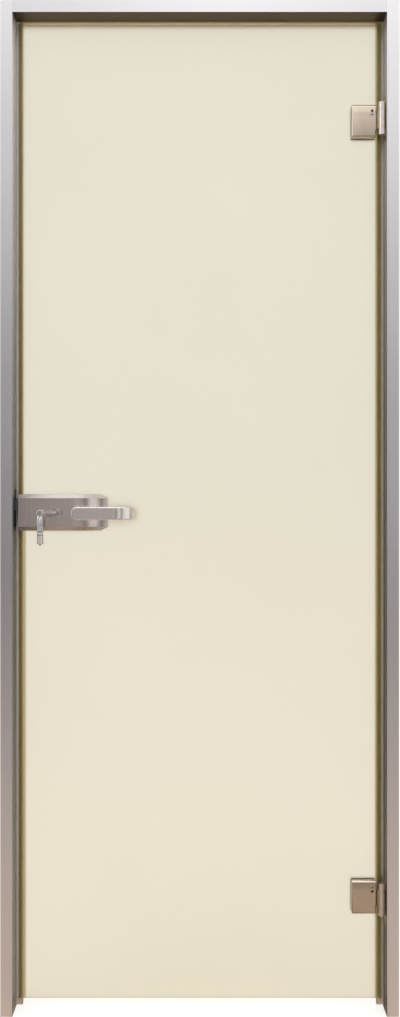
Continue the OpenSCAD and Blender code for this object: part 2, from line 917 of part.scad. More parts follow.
// Collar in each half of the case that carries a lever's neck
module handle_bush() {
    y0 = case_front - bush_proud;
    difference() {
        bar_y(bush_d, y0, y0 + bush_l, spindle_x, lock_z);
        bar_y(neck_d + 2 * run_gap, y0 - over, y0 + bush_l + over, spindle_x, lock_z);
    }
}

module handle_bushes() {
    color("dimgray") for (s = [0, 1]) {
        mirror([0, s, 0]) handle_bush();
    }
}

module cylinder_body() {
    color("goldenrod") difference() {
        sheet_y(-cylinder_end, cylinder_end) cylinder_profile(0);
        bar_y(plug_d + 2 * run_gap, -cylinder_end - over, cylinder_end + over, cylinder_x, lock_z);
        bar_y(2 * (cam_r + slide_gap), -cam_w / 2 - slide_gap, cam_w / 2 + slide_gap, cylinder_x, lock_z);
    }
}

// Handle

// Square hole or bar along Y at the spindle's place
module square_y(side, y0, y1) {
    translate([spindle_x, 0, lock_z])
        box_between([-side / 2, y0, -side / 2], [side / 2, y1, side / 2]);
}

// Section of the lever bar between two depths, rounded at its four edges
module bar_section() {
    translate([lever_t / 2, 0]) rounded_rect(lever_t, lever_h, lever_edge_r);
}

// What is cut off to round one corner at the tip of the lever's returned end
module tip_corner() {
    r = lever_corner_r;
    z = lever_h / 2 - r;
    difference() {
        box_between([-r, -bend_r - over, z], [over, lever_t - bend_r + 2 * over, lever_h / 2 + over]);
        bar_y(2 * r, -bend_r - 2 * over, lever_t - bend_r + 3 * over, -r, z);
    }
}

// Lever: round neck, flat bar with a rounded root, and a rounded end that turns back towards the glass
module lever() {
    difference() {
        union() {
            bar_y(neck_d, bar_front + lever_t / 2, neck_end, spindle_x, lock_z);
            intersection() {
                translate([0, bar_front, bar_z]) run_x(bar_x0, bar_x1) bar_section();
                sheet_y(bar_front - over, bar_front + lever_t + over)
                    translate([bar_x0 + lever_l / 2, bar_z]) rounded_rect(lever_l, lever_h, lever_corner_r);
            }
            translate([bar_x1, bar_front + bend_r, bar_z]) difference() {
                rotate([0, 0, -90])
                    rotate_extrude(angle = bend_angle, $fn = 96)
                        translate([bend_r - lever_t, 0]) bar_section();
                rotate([0, 0, bend_angle]) for (s = [0, 1]) {
                    mirror([0, 0, s]) tip_corner();
                }
            }
        }
        square_y(spindle_side + 2 * fixed_gap, neck_end - socket_l, neck_end + over);
        lever_screw(grub_d + 2 * fixed_gap, neck_d);
    }
}

// Grub screw from below through the neck onto the spindle
module lever_screw(d, l) {
    translate([spindle_x, bar_front + lever_t + (lever_proud - lever_t) / 2, lock_z - spindle_side / 2 - l])
        cylinder(d = d, h = l);
}

module outer_lever() {
    color("lightgray") lever();
}

module inner_lever() {
    color("lightgray") mirror([0, 1, 0]) lever();
}

module lever_screws() {
    color("dimgray") for (s = [0, 1]) {
        mirror([0, s, 0]) lever_screw(grub_d, grub_l);
    }
}

module spindle() {
    y1 = socket_l - neck_end;
    color("gray") square_y(spindle_side, -y1, y1);
}

// Follower on the spindle, with the arm that draws the latch back
module follower_hub() {
    color("gray") difference() {
        union() {
            bar_y(hub_d, hub_y, hub_y + hub_t, spindle_x, lock_z);
            translate([spindle_x, 0, lock_z])
                box_between([-arm_w / 2, hub_y, 0], [arm_w / 2, hub_y + hub_t, arm_h]);
        }
        square_y(spindle_side + 2 * fixed_gap, hub_y - over, hub_y + hub_t + over);
    }
}

// Bolts

// Latch: bevelled head on the closing side, tail over the cylinder, lug in front of the follower's arm
module latch_bolt() {
    x0 = case_x0 - latch_out;
    x1 = x0 + latch_body_l;
    half = latch_t / 2;
    color("lightgray") {
        translate([0, bolts_y, latch_z - latch_h / 2]) linear_extrude(latch_h) polygon([
            [x0, -half], [x1, -half], [x1, half], [x0 + latch_out - seat_gap, half], [x0, -half / 2]
        ]);
        box_between([x1 - over, bolts_y - tail_t / 2, tail_z],
                    [lug_x + lug_t, bolts_y + tail_t / 2, tail_z + tail_h]);
        box_between([lug_x, bolts_y - tail_t / 2, tail_z - lug_drop],
                    [lug_x + lug_t, bolts_y + tail_t / 2, tail_z + tail_h]);
    }
}

module dead_bolt() {
    color("lightgray")
        box_between([case_x0 + seat_gap, bolts_y - bolt_t / 2, deadbolt_z - bolt_h / 2],
                    [case_x0 + deadbolt_l, bolts_y + bolt_t / 2, deadbolt_z + bolt_h / 2]);
}

// Cylinder and keys

module cylinder_plugs() {
    y1 = cam_w / 2 + slide_gap;
    color("khaki") {
        difference() {
            bar_y(plug_d, -cylinder_end, -y1, cylinder_x, lock_z);
            translate([cylinder_x, 0, lock_z])
                box_between([-blade_w / 2 - fixed_gap, -cylinder_end - over, -blade_t / 2 - fixed_gap],
                            [blade_w / 2 + fixed_gap, -cylinder_end + blade_in, blade_t / 2 + fixed_gap]);
        }
        bar_y(plug_d, y1, cylinder_end, cylinder_x, lock_z);
    }
}

// Cam between the two plugs, with the nose that drives the dead bolt
module cylinder_cam() {
    y1 = cam_w / 2;
    color("gray") intersection() {
        union() {
            bar_y(cam_hub_d, -y1, y1, cylinder_x, lock_z);
            bar_y(plug_d / 2, -y1 - slide_gap, y1 + slide_gap, cylinder_x, lock_z);
            translate([cylinder_x, 0, lock_z])
                box_between([-cam_nose_w / 2, -y1, -cam_r], [cam_nose_w / 2, y1, 0]);
        }
        bar_y(2 * cam_r, -cam_w, cam_w, cylinder_x, lock_z);
    }
}

// Key in the cylinder, its bow lying flat, with the eye for the ring
module key() {
    y0 = -cylinder_end - shoulder_l;
    color("gainsboro") difference() {
        union() {
            translate([cylinder_x, 0, lock_z]) {
                box_between([-blade_w / 2, y0, -blade_t / 2],
                            [blade_w / 2, -cylinder_end + blade_in - seat_gap, blade_t / 2]);
                box_between([-shoulder_w / 2, y0 - over, -blade_t],
                            [shoulder_w / 2, -cylinder_end - seat_gap, blade_t]);
            }
            translate([cylinder_x, eye_y, lock_z - bow_t / 2])
                linear_extrude(bow_t) rounded_rect(bow_w, bow_l, bow_r);
        }
        translate([eye_x, eye_y, lock_z - bow_t]) cylinder(r = eye_r, h = 2 * bow_t);
    }
}

module key_ring() {
    color("gray") translate([ring_x, eye_y, ring_z]) rotate([90, 0, 0])
        rotate_extrude() translate([ring_r, 0]) circle(r = wire_r, $fn = 24);
}

// Height of the ring's wire at a distance dx from its middle, on its lower half
function wire_z(dx) = ring_z - sqrt(ring_r * ring_r - dx * dx);

// Spare key that hangs edge on, one of a fan, its eye round the ring's wire
module spare_key(i) {
    dx = i * spare_pitch;
    far_z = wire_z(abs(dx) + spare_t / 2);
    near_z = wire_z(max(abs(dx) - spare_t / 2, 0));
    hang = abs(dx) < spare_t / 2 ? eye_r - wire_r - seat_gap : 0;
    eye_z = (far_z + near_z) / 2 - hang;
    collar_top = key_eye_in - spare_bow_h;
    blade_top = collar_top - spare_collar_h;
    collar_t = spare_blade_t + wire_r / 2;
    translate([ring_x + dx, eye_y, eye_z]) rotate([0, -i * spare_fan, 0]) rotate([90, 0, 90]) {
        difference() {
            translate([0, key_eye_in - spare_bow_h / 2, -spare_t / 2])
                linear_extrude(spare_t) rounded_rect(spare_bow_w, spare_bow_h, bow_r);
            translate([0, 0, -spare_t]) cylinder(r = eye_r, h = 2 * spare_t);
        }
        translate([-spare_collar_w / 2, blade_top, -collar_t / 2])
            cube([spare_collar_w, spare_collar_h + over, collar_t]);
        difference() {
            translate([-blade_w / 2, blade_top - spare_blade_l, -spare_blade_t / 2])
                cube([blade_w, spare_blade_l + over, spare_blade_t]);
            for (n = [1 : notch_count]) {
                translate([blade_w / 2, blade_top - n * spare_blade_l / (notch_count + 1), -spare_t])
                    cylinder(r = notch_r, h = 2 * spare_t);
            }
        }
    }
}

module spare_keys() {
    color("gainsboro") for (i = [-1 : 1]) {
        spare_key(i);
    }
}

latch_jamb();
hinge_jamb();
head_rail();
corner_blocks();
corner_screws();
latch_seal();
hinge_seal();
head_seal();
strike_plate();
strike_box();
strike_screws();
upper_frame_hinge();
lower_frame_hinge();
hinge_pins();
hinge_plate_screws();
glass_pane();
upper_hinge_leaf();
lower_hinge_leaf();
hinge_bushes();
upper_hinge_cover();
lower_hinge_cover();
upper_back_clamp();
lower_back_clamp();
clamp_gaskets();
clamp_screws();
cover_screws();
front_lock_case();
back_lock_case();
lock_faceplate();
lock_gaskets();
lock_screws();
handle_bushes();
cylinder_body();
outer_lever();
inner_lever();
spindle();
follower_hub();
lever_screws();
latch_bolt();
dead_bolt();
cylinder_plugs();
cylinder_cam();
key();
key_ring();
spare_keys();
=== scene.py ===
# %% [markdown]
# # A satin glass door in a slim aluminium frame
# The solids of the door come from its CAD model and already stand in the right place. This lesson dresses them:
# a camera, a plain studio, a set of shader node groups for the finishes, one material for each kind of metal,
# glass and rubber, and a few pieces whose soft shapes are easier to work out with numpy than to cut from solids.

import json
from functools import reduce

import bmesh
import bpy
import numpy as np
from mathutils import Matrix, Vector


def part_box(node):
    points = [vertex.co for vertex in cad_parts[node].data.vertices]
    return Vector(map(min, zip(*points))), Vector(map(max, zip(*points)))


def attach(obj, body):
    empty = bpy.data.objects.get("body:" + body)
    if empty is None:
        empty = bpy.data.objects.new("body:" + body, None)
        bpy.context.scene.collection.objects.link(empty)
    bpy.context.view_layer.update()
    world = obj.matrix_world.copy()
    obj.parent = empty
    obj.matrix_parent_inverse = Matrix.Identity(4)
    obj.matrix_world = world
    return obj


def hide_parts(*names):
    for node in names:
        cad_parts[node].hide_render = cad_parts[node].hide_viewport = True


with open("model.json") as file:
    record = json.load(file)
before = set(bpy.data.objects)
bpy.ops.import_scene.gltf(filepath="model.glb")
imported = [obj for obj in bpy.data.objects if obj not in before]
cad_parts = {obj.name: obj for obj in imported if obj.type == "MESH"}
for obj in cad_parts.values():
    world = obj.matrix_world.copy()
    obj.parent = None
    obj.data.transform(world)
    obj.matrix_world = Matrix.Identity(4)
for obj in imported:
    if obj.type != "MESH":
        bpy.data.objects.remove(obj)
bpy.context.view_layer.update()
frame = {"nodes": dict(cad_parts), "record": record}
nodes = frame["nodes"]
scene = bpy.context.scene
scene.view_settings.view_transform = "Standard"

# %% [markdown]
# ## Camera
# The door is seen square on, from a little over two metres, at half the height of the frame: upright lines
# stay parallel, and the reveals of both jambs show by the same amount. A lens is fitted to the upright side of
# the picture here, so that the frame fills it from top to bottom. A longer lens from further away would give the
# same outline, but would hide the reveals.

# %% Camera
eye_aside, eye_distance, eye_height = 0.0007, 2.249, 1.02
camera_data = bpy.data.cameras.new("camera")
camera_data.sensor_fit = "VERTICAL"
camera_data.sensor_height = 36.0
camera_data.lens = 38.82
camera = bpy.data.objects.new("camera", camera_data)
camera.location = (eye_aside, -eye_distance, eye_height)
camera.rotation_euler = (np.pi / 2, 0, 0)
scene.collection.objects.link(camera)
scene.camera = camera
print("camera at", tuple(round(c, 4) for c in camera.location), "lens", camera_data.lens)


# %% [markdown]
# ## Shader nodes in few words
# A material is a graph of nodes and links. Each node could be made and wired with Blender's own long calls, but the
# same small steps come back in every material here: one number from another, the largest of several, a colour
# between two colours. So each step becomes a short helper that returns the socket it ends in, and a material then
# reads from top to bottom like a recipe.

# %% Helpers: nodes and links
def add_node(tree, kind, **settings):
    """Make one shader node and set the named properties on it."""
    made = tree.nodes.new(kind)
    for name, value in settings.items():
        setattr(made, name, value)
    return made


def join(tree, source, target):
    """Draw one link from an output socket to an input socket."""
    tree.links.new(source, target)


def fresh_tree(owner):
    """Give a material or a world an empty node tree."""
    owner.use_nodes = True
    owner.node_tree.nodes.clear()
    return owner.node_tree


def new_material(name):
    """A material and its empty node tree."""
    made = bpy.data.materials.new(name)
    return made, fresh_tree(made)


print("helpers for nodes:", [step.__name__ for step in (add_node, join, fresh_tree, new_material)])


# %% Helpers: numbers
def reckon(tree, operation, *values, **settings):
    """One step of arithmetic on values, each a socket or a plain number."""
    step = add_node(tree, "ShaderNodeMath", operation=operation, **settings)
    for socket, value in zip(step.inputs, values):
        if isinstance(value, (int, float)):
            socket.default_value = value
        else:
            join(tree, value, socket)
    return step.outputs[0]


def largest(tree, *values):
    """The largest of some values: of masks, 1 where any of them is 1."""
    return reduce(lambda first, second: reckon(tree, "MAXIMUM", first, second), values)


def product(tree, *values):
    """Values multiplied together: of masks, 1 where all of them are 1."""
    return reduce(lambda first, second: reckon(tree, "MULTIPLY", first, second), values)


def contrast(tree, value, low, high):
    """Stretch the span from low to high of a value to the span from 0 to 1, and cut off the rest."""
    stretch = add_node(tree, "ShaderNodeMapRange", clamp=True)
    stretch.inputs["From Min"].default_value = low
    stretch.inputs["From Max"].default_value = high
    join(tree, value, stretch.inputs["Value"])
    return stretch.outputs["Result"]


def object_place(tree):
    """The three object coordinates, in metres, as sockets."""
    place = add_node(tree, "ShaderNodeTexCoord")
    parts = add_node(tree, "ShaderNodeSeparateXYZ")
    join(tree, place.outputs["Object"], parts.inputs[0])
    return parts.outputs["X"], parts.outputs["Y"], parts.outputs["Z"]


print("helpers for numbers:", [step.__name__ for step in (reckon, largest, product, contrast, object_place)])


# %% Helpers: colours and surfaces
def feed(tree, socket, colour):
    """Put a colour on a socket: a link if it comes from another socket, else a plain value."""
    if isinstance(colour, (tuple, list)):
        socket.default_value = (*colour, 1)
    else:
        join(tree, colour, socket)


def blended(tree, share, first, second):
    """A colour between two colours: the first where the share is 0, the second where it is 1."""
    mix = add_node(tree, "ShaderNodeMix", data_type="RGBA")
    join(tree, share, mix.inputs[0])
    feed(tree, mix.inputs[6], first)
    feed(tree, mix.inputs[7], second)
    return mix.outputs[2]


def multiplied(tree, first, second):
    """One colour times another."""
    mix = add_node(tree, "ShaderNodeMix", data_type="RGBA", blend_type="MULTIPLY")
    mix.inputs[0].default_value = 1.0
    feed(tree, mix.inputs[6], first)
    feed(tree, mix.inputs[7], second)
    return mix.outputs[2]


def level_ramp(tree, value, levels):
    """Colours at chosen shares of a value that runs from 0 to 1, blended in between."""
    ramp = add_node(tree, "ShaderNodeValToRGB")
    while len(ramp.color_ramp.elements) < len(levels):
        ramp.color_ramp.elements.new(0.5)
    for element, (place_share, *colour) in zip(ramp.color_ramp.elements, levels):
        element.position = place_share
        element.color = (*colour, 1)
    join(tree, value, ramp.inputs["Fac"])
    return ramp.outputs["Color"]


def greys(levels):
    """Plain grey levels for a ramp, from pairs of a share and a level."""
    return [(share, level, level, level) for share, level in levels]


def either(tree, share, first, second):
    """One of two shaders, by a mask."""
    choose = add_node(tree, "ShaderNodeMixShader")
    join(tree, share, choose.inputs["Fac"])
    join(tree, first, choose.inputs[1])
    join(tree, second, choose.inputs[2])
    return choose.outputs[0]


def end_in(tree, shader, kind="ShaderNodeOutputMaterial"):
    """Close a tree with its output node."""
    join(tree, shader, add_node(tree, kind).inputs["Surface"])


print("helpers for colours:", [step.__name__ for step in (feed, blended, multiplied, level_ramp, either, end_in)])


# %% [markdown]
# ## Studio
# Satin metal has hardly any colour of its own. It shows what stands opposite, so a metal door needs a room to
# look at. A photographer would hang grey and white cloths around the camera, out of the picture. Here they are flat
# rectangles that only light and mirror rays can meet. First come two helpers: one for such a rectangle, and one that
# tells the kinds of rays apart.

# %% Studio: rectangles and rays
def rectangle(name, corners):
    """A flat four-cornered stage piece from its corner points."""
    mesh = bpy.data.meshes.new(name)
    mesh.from_pydata(corners, [], [(0, 1, 2, 3)])
    made = bpy.data.objects.new(name, mesh)
    scene.collection.objects.link(made)
    return made


def rays(tree, *kinds):
    """1 for a ray of any of the named kinds, else 0."""
    path = add_node(tree, "ShaderNodeLightPath")
    return largest(tree, *[path.outputs["Is " + kind + " Ray"] for kind in kinds])


print("helpers for the studio:", rectangle.__name__, rays.__name__)

# %% [markdown]
# ## White background
# The door stands before plain white. The world could simply be made bright, but its light would then wash out the
# metal. So it is white only for rays that look at it, from the camera, off a mirror or through glass, and the light
# that it sheds on the door stays at a plain level.

# %% Studio: white background
world = bpy.data.worlds.new("studio_world")
scene.world = world
tree = fresh_tree(world)
ambient = add_node(tree, "ShaderNodeBackground")
ambient.inputs["Color"].default_value = (0.97, 0.98, 1.0, 1)
ambient.inputs["Strength"].default_value = 0.55
white = add_node(tree, "ShaderNodeBackground")
white.inputs["Color"].default_value = (1, 1, 1, 1)
white.inputs["Strength"].default_value = 1.0
seen = rays(tree, "Camera", "Glossy", "Transmission")
end_in(tree, either(tree, seen, ambient.outputs[0], white.outputs[0]), "ShaderNodeOutputWorld")
print("world: white where it is looked at, ambient", ambient.inputs["Strength"].default_value)

# %% [markdown]
# ## Floor
# The floor is a plain pale sheet that takes the door's shadow. For the camera it also glows a little, so that it runs
# into the white background. The metal should mirror a room with a brown floor, so mirror rays meet another floor, a
# glow with painted light: it dims with distance, and a painted shadow makes it darkest close to the door. Two sheets
# in one place would flicker, so there is one sheet, with a mask for the kind of ray. Rays that come through rough
# glass count as mirror rays too, so they are taken out of that mask.

# %% Studio: floor
floor_half, dim_at = 9, -6.0
floor = rectangle("floor", [(-floor_half, -floor_half, 0), (floor_half, -floor_half, 0),
                            (floor_half, floor_half, 0), (-floor_half, floor_half, 0)])
floor_paint, tree = new_material("pale_floor")
paint = add_node(tree, "ShaderNodeBsdfDiffuse")
paint.inputs["Color"].default_value = (0.86, 0.81, 0.75, 1)
glow = add_node(tree, "ShaderNodeEmission")
glow.inputs["Strength"].default_value = 0.56
lit = add_node(tree, "ShaderNodeAddShader")
join(tree, paint.outputs[0], lit.inputs[0])
join(tree, glow.outputs[0], lit.inputs[1])
plain = either(tree, rays(tree, "Camera", "Transmission"), paint.outputs[0], lit.outputs[0])
across, ahead, _ = object_place(tree)
# outward paints the mirrored floor dimmer with distance, and close_by paints a shadow on it close to the door.
outward = [(0.0, 0.29, 0.26, 0.255), (0.45, 0.43, 0.375, 0.345), (0.78, 0.56, 0.475, 0.415),
           (0.96, 0.63, 0.51, 0.43), (1.0, 0.66, 0.53, 0.44)]
close_by = [(0.0, 0.46, 0.42, 0.33), (0.72, 0.46, 0.42, 0.33), (0.77, 1, 1, 1)]
from_middle = largest(tree, reckon(tree, "ABSOLUTE", across), reckon(tree, "MULTIPLY", ahead, -1.2))
by_closeness = level_ramp(tree, contrast(tree, from_middle, 0.0, 0.5), close_by)
by_distance = level_ramp(tree, contrast(tree, ahead, dim_at, 0.0), outward)
mirrored = add_node(tree, "ShaderNodeEmission")
join(tree, multiplied(tree, by_distance, by_closeness), mirrored.inputs["Color"])
only_mirror = reckon(tree, "SUBTRACT", rays(tree, "Glossy"), rays(tree, "Transmission"), use_clamp=True)
end_in(tree, either(tree, only_mirror, plain, mirrored.outputs[0]))
floor.data.materials.append(floor_paint)
print("floor:", floor.dimensions[:], "mirror levels:", len(outward))


# %% [markdown]
# ## Screen
# The room behind the camera is one tall screen, dim at eye level and brighter towards the ceiling. The jambs show it
# as the long change from dark to light up their length. It could be a sky picture, but two rows of levels, one up and
# one across, are easier to move until the metal looks right. Camera rays and rays through the glass pass it by.

# %% Studio: the screen that the metal looks at
def finish_screen(tree, colour, strength):
    """Emission of a colour for light and mirror rays. What is looked at, also through glass, passes it by."""
    glow = add_node(tree, "ShaderNodeEmission")
    glow.inputs["Strength"].default_value = strength
    feed(tree, glow.inputs["Color"], colour)
    clear = add_node(tree, "ShaderNodeBsdfTransparent")
    end_in(tree, either(tree, rays(tree, "Camera", "Transmission"), glow.outputs[0], clear.outputs[0]))


screen_y, screen_half, screen_top, screen_strength = -6.0, 7.0, 7.0, 3.0
screen = rectangle("room_screen", [(-screen_half, screen_y, 0), (screen_half, screen_y, 0),
                                   (screen_half, screen_y, screen_top), (-screen_half, screen_y, screen_top)])
screen_glow, tree = new_material("room_screen_glow")
across, _, height = object_place(tree)
upward = [(0.0, 0.24, 0.215, 0.21), (0.05, 0.13, 0.122, 0.126), (0.16, 0.125, 0.12, 0.13),
          (0.36, 0.38, 0.365, 0.38), (0.50, 0.61, 0.59, 0.61), (0.62, 0.86, 0.84, 0.86), (0.68, 0.60, 0.59, 0.61),
          (0.70, 0.62, 0.61, 0.63), (0.71, 1.0, 0.99, 1.02)]
sideways = [(-7.0, 0.37), (-3.0, 0.30), (-1.4, 0.33), (-0.6, 0.42), (0.2, 0.66), (0.9, 0.42), (1.5, 0.42),
            (3.0, 0.40), (4.2, 0.27), (5.2, 0.25), (6.0, 0.65)]
by_height = level_ramp(tree, contrast(tree, height, 0, screen_top), upward)
by_width = level_ramp(tree, contrast(tree, across, -screen_half, screen_half),
                      greys([((x + screen_half) / (2 * screen_half), level) for x, level in sideways]))
finish_screen(tree, multiplied(tree, by_height, by_width), screen_strength)
screen.data.materials.append(screen_glow)
print("screen:", len(upward), "levels up,", len(sideways), "levels across")


# %% [markdown]
# ## Lit panels
# The lock and the levers stand at eye level, where the screen is dim, and curved metal needs a band of light to read
# as curved. The levels of the screen could be raised there, but every piece would then show it. Two bright panels
# just in front of the screen are seen only by the faces that turn towards them.

# %% Studio: lit panels at eye level
def lit_panel(name, x0, x1, z0, z1, colour):
    """A plain bright patch just in front of the screen, for one band of light on the curved metal."""
    near = screen_y + 0.1
    made = rectangle(name, [(x0, near, z0), (x1, near, z0), (x1, near, z1), (x0, near, z1)])
    paper, tree = new_material(name + "_paper")
    finish_screen(tree, colour, 1.0)
    made.data.materials.append(paper)
    return made


panels = [lit_panel("panel_middle", -1.3, 0.8, 0.55, 1.5, (0.54, 0.50, 0.49)),
          lit_panel("panel_right", 1.9, 4.2, 0.65, 1.4, (1.45, 1.40, 1.42))]
print("panels:", [panel.name for panel in panels])


# %% [markdown]
# ## Lamps
# Two large soft lamps light what isn't a mirror: the glass, the rubber and the floor. One hangs under the ceiling, and
# a weaker one stands at the left, so that the light has a side. A sun lamp would be simpler, but its shadows are
# hard.

# %% Studio: lamps
def soft_lamp(name, place, target, size, power):
    """A rectangular area lamp at place that points at target."""
    lamp_data = bpy.data.lights.new(name, "AREA")
    lamp_data.shape = "RECTANGLE"
    lamp_data.size, lamp_data.size_y = size
    lamp_data.energy = power
    lamp = bpy.data.objects.new(name, lamp_data)
    away = np.array(place, float) - np.array(target, float)
    flat = np.hypot(away[0], away[1])
    lamp.rotation_euler = (np.arctan2(flat, away[2]), 0, np.arctan2(away[0], -away[1]))
    lamp.location = place
    scene.collection.objects.link(lamp)
    return lamp


lamps = [soft_lamp("ceiling_lamp", (0.0, -1.5, 4.4), (0, 0, 1.3), (4.0, 2.4), 26),
         soft_lamp("side_lamp", (-3.2, -2.6, 2.6), (0, 0, 1.0), (2.4, 3.0), 14)]
print("lamps:", [lamp.name for lamp in lamps])


# %% [markdown]
# ## Finishes as node groups
# A few effects come back on nearly every surface here, and each of them becomes one node group with named sockets, so
# that it is built once and improved once. A group only puts out plain numbers, and every material decides by
# itself how far they move its colour, its gloss and its bump. The shader could sit in the group too, but then all
# materials that use it would have to be alike.

# %% Finishes: an empty group with named sockets
def new_group(name, inputs, outputs):
    """A shader node group. inputs maps a socket's name to its kind and default, outputs lists the names."""
    group = bpy.data.node_groups.new(name, "ShaderNodeTree")
    for label, (kind, default) in inputs.items():
        socket = group.interface.new_socket(label, in_out="INPUT", socket_type=kind)
        if default is not None:
            socket.default_value = default
    for label in outputs:
        group.interface.new_socket(label, in_out="OUTPUT", socket_type="NodeSocketFloat")
    return group, add_node(group, "NodeGroupInput"), add_node(group, "NodeGroupOutput")


print("helper for groups:", new_group.__name__)

# %% [markdown]
# ## Drawn lines
# A bar that is pulled through a die, and a face that is brushed, keep fine scratches that run one way. They could be
# painted in an image, but noise that is stretched along one axis gives lines that never repeat, on a piece of any
# length.

# %% Finishes: drawn lines
lines_group, given, result = new_group(
    "drawn_lines",
    {"Place": ("NodeSocketVector", None), "Lines per metre": ("NodeSocketFloat", 900.0),
     "Length share": ("NodeSocketFloat", 0.012)},
    ["Line"])
along = reckon(lines_group, "MULTIPLY", given.outputs["Lines per metre"], given.outputs["Length share"])
stretch = add_node(lines_group, "ShaderNodeCombineXYZ")
join(lines_group, along, stretch.inputs["X"])
join(lines_group, given.outputs["Lines per metre"], stretch.inputs["Y"])
join(lines_group, given.outputs["Lines per metre"], stretch.inputs["Z"])
stretched = add_node(lines_group, "ShaderNodeVectorMath", operation="MULTIPLY")
join(lines_group, given.outputs["Place"], stretched.inputs[0])
join(lines_group, stretch.outputs[0], stretched.inputs[1])
streaks = add_node(lines_group, "ShaderNodeTexNoise")
streaks.inputs["Scale"].default_value = 1.0
streaks.inputs["Detail"].default_value = 3.0
streaks.inputs["Roughness"].default_value = 0.62
join(lines_group, stretched.outputs[0], streaks.inputs["Vector"])
join(lines_group, contrast(lines_group, streaks.outputs["Fac"], 0.3, 0.7), result.inputs["Line"])
print("group:", lines_group.name)


# %% [markdown]
# ## Clouds and grain
# Every handled surface has broad cloudy patches where it is a touch duller. Etched glass, rubber and blasted metal
# have an even fine grain. Both are plain noise, and differ in how many patches or grains go into a metre and in how
# much small detail each of them has, so one function makes both groups.

# %% Finishes: cloudy patches and fine grain
def noise_group(name, rate, default, output, detail, rough, spread):
    """A group with one noise. Its values from 1/2 - spread to 1/2 + spread are stretched to 0 to 1."""
    group, given, result = new_group(
        name, {"Place": ("NodeSocketVector", None), rate: ("NodeSocketFloat", default)}, [output])
    noise = add_node(group, "ShaderNodeTexNoise")
    noise.inputs["Detail"].default_value = detail
    noise.inputs["Roughness"].default_value = rough
    join(group, given.outputs["Place"], noise.inputs["Vector"])
    join(group, given.outputs[rate], noise.inputs["Scale"])
    join(group, contrast(group, noise.outputs["Fac"], 0.5 - spread, 0.5 + spread), result.inputs[output])
    return group


clouds_group = noise_group("cloudy_patches", "Patches per metre", 6.0, "Cloud", 4.0, 0.55, 0.22)
grain_group = noise_group("fine_grain", "Grains per metre", 1200.0, "Grain", 2.0, 0.7, 0.2)
print("groups:", clouds_group.name, grain_group.name)

# %% [markdown]
# ## Zones of the frame
# The frame is one metal, but it carries painted light: the faces of the reveal, in front of the glass, get painted
# shade and painted reflection, graded by height, and the pocket behind the glass gets a painted shade in the tone of
# the glass. Each zone could be a solid of its own, but the real bars aren't cut there. So a group tells the zones
# apart by place alone. Its bounds lie a little past the faces of the bars, in metres.

# %% Finishes: zones of the frame
reveal_half, reveal_top = 0.3763, 2.0163
pocket_half, pocket_bottom, pocket_back = 0.3708, 0.0178, 0.0165
glass_face, frame_height = -0.0045, 2.04
zones_group, given, result = new_group("frame_zones", {"Place": ("NodeSocketVector", None)},
                                       ["Reveal", "Pocket", "Height share", "Hinge side"])
parts = add_node(zones_group, "ShaderNodeSeparateXYZ")
join(zones_group, given.outputs["Place"], parts.inputs[0])
across, depth, height = parts.outputs["X"], parts.outputs["Y"], parts.outputs["Z"]
aside = reckon(zones_group, "ABSOLUTE", across)
in_reveal = product(zones_group, reckon(zones_group, "LESS_THAN", aside, reveal_half),
                    reckon(zones_group, "LESS_THAN", height, reveal_top),
                    reckon(zones_group, "LESS_THAN", depth, glass_face))
in_pocket = product(zones_group, reckon(zones_group, "LESS_THAN", aside, pocket_half),
                    reckon(zones_group, "GREATER_THAN", height, pocket_bottom),
                    reckon(zones_group, "GREATER_THAN", depth, glass_face),
                    reckon(zones_group, "LESS_THAN", depth, pocket_back))
join(zones_group, in_reveal, result.inputs["Reveal"])
join(zones_group, in_pocket, result.inputs["Pocket"])
join(zones_group, contrast(zones_group, height, 0.0, frame_height), result.inputs["Height share"])
join(zones_group, reckon(zones_group, "GREATER_THAN", across, 0.0), result.inputs["Hinge side"])
print("group:", zones_group.name)

# %% [markdown]
# ## Materials
# A material here always goes the same way: place, groups, a colour between two tones, a roughness, a bump, and
# one Principled shader at the end. The lines must run the way the metal was drawn or brushed: up the jambs, along
# the head rail, upright on the lock case and the levers. A Mapping node turns the pattern, because the group always
# draws its lines along the first axis of the place that it is given.

# %% Materials: shared steps
TURN_TO = {"x": (0, 0, 0), "y": (0, 0, -np.pi / 2), "z": (0, np.pi / 2, 0)}


def turned_place(tree, axis):
    """Object coordinates, turned so that the chosen axis of the object becomes the first axis of the pattern."""
    place = add_node(tree, "ShaderNodeTexCoord")
    turn = add_node(tree, "ShaderNodeMapping")
    turn.inputs["Rotation"].default_value = TURN_TO[axis]
    join(tree, place.outputs["Object"], turn.inputs["Vector"])
    return turn.outputs["Vector"]


def use_group(tree, group, place, *numbers):
    """Put a finish group at a place, with its main number if it has one, and return its outputs."""
    made = add_node(tree, "ShaderNodeGroup", node_tree=group)
    join(tree, place, made.inputs["Place"])
    for socket, number in zip(made.inputs[1:], numbers):
        socket.default_value = number
    return made.outputs


def weighed(tree, parts, base):
    """base plus each value, taken about its middle, times its weight: base + sum of (value - 1/2) * weight."""
    total = base - 0.5 * sum(weight for _, weight in parts)
    for value, weight in parts:
        total = reckon(tree, "MULTIPLY_ADD", value, weight, total)
    return total


def tone_pair(colour, spread):
    """A darker and a lighter tone of a colour: colour * (1 - spread / 2) and colour * (1 + spread / 2)."""
    return [c * (1 - spread / 2) for c in colour], [min(1.0, c * (1 + spread / 2)) for c in colour]


def relief(tree, height, depth):
    """A bump of the given depth, in metres, from a height that runs from 0 to 1."""
    bump = add_node(tree, "ShaderNodeBump")
    bump.inputs["Strength"].default_value = 0.6
    bump.inputs["Distance"].default_value = depth
    join(tree, height, bump.inputs["Height"])
    return bump.outputs["Normal"]


